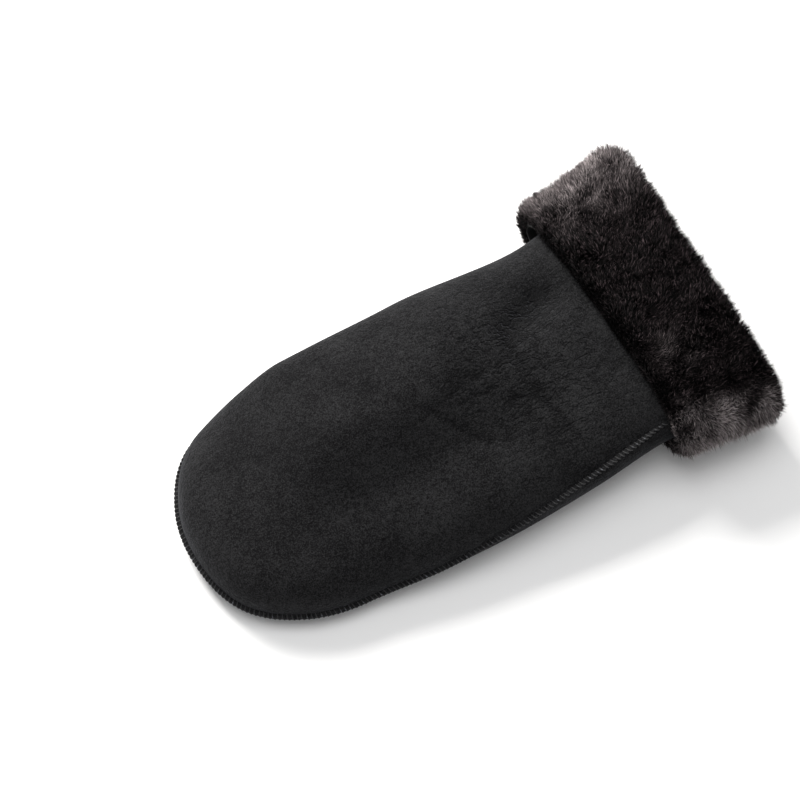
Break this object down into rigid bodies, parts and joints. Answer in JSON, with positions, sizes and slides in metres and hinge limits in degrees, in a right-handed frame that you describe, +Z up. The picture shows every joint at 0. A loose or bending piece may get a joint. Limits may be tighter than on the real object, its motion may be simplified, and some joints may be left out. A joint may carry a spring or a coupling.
{
  "type": "sheepskin mitten",
  "caption": "Left-hand sheepskin mitten, suede outside and wool inside, lying on its palm with the thumb folded under and the skin turned back into a deep wool cuff.",
  "frame": {"origin": "middle of the mitten's bounding box, on the surface it lies on", "axes": "+X from the fingertips to the mouth, +Y towards the thumb side, +Z up out of the back of the hand"},
  "size_m": [0.2928, 0.1684, 0.058],
  "materials": {
    "suede": "black suede with a short soft nap",
    "cut_skin": "raw cut edge of the skin, matte black",
    "wool": "dense clipped wool pile, black with a brown cast"
  },
  "bodies": {
    "root": {"back_panel": "suede", "palm_panel": "suede", "thumb_panel": "suede", "wool_lining": "wool", "cuff_skin": "cut_skin", "cuff_wool": "wool"}
  },
  "joints": []
}
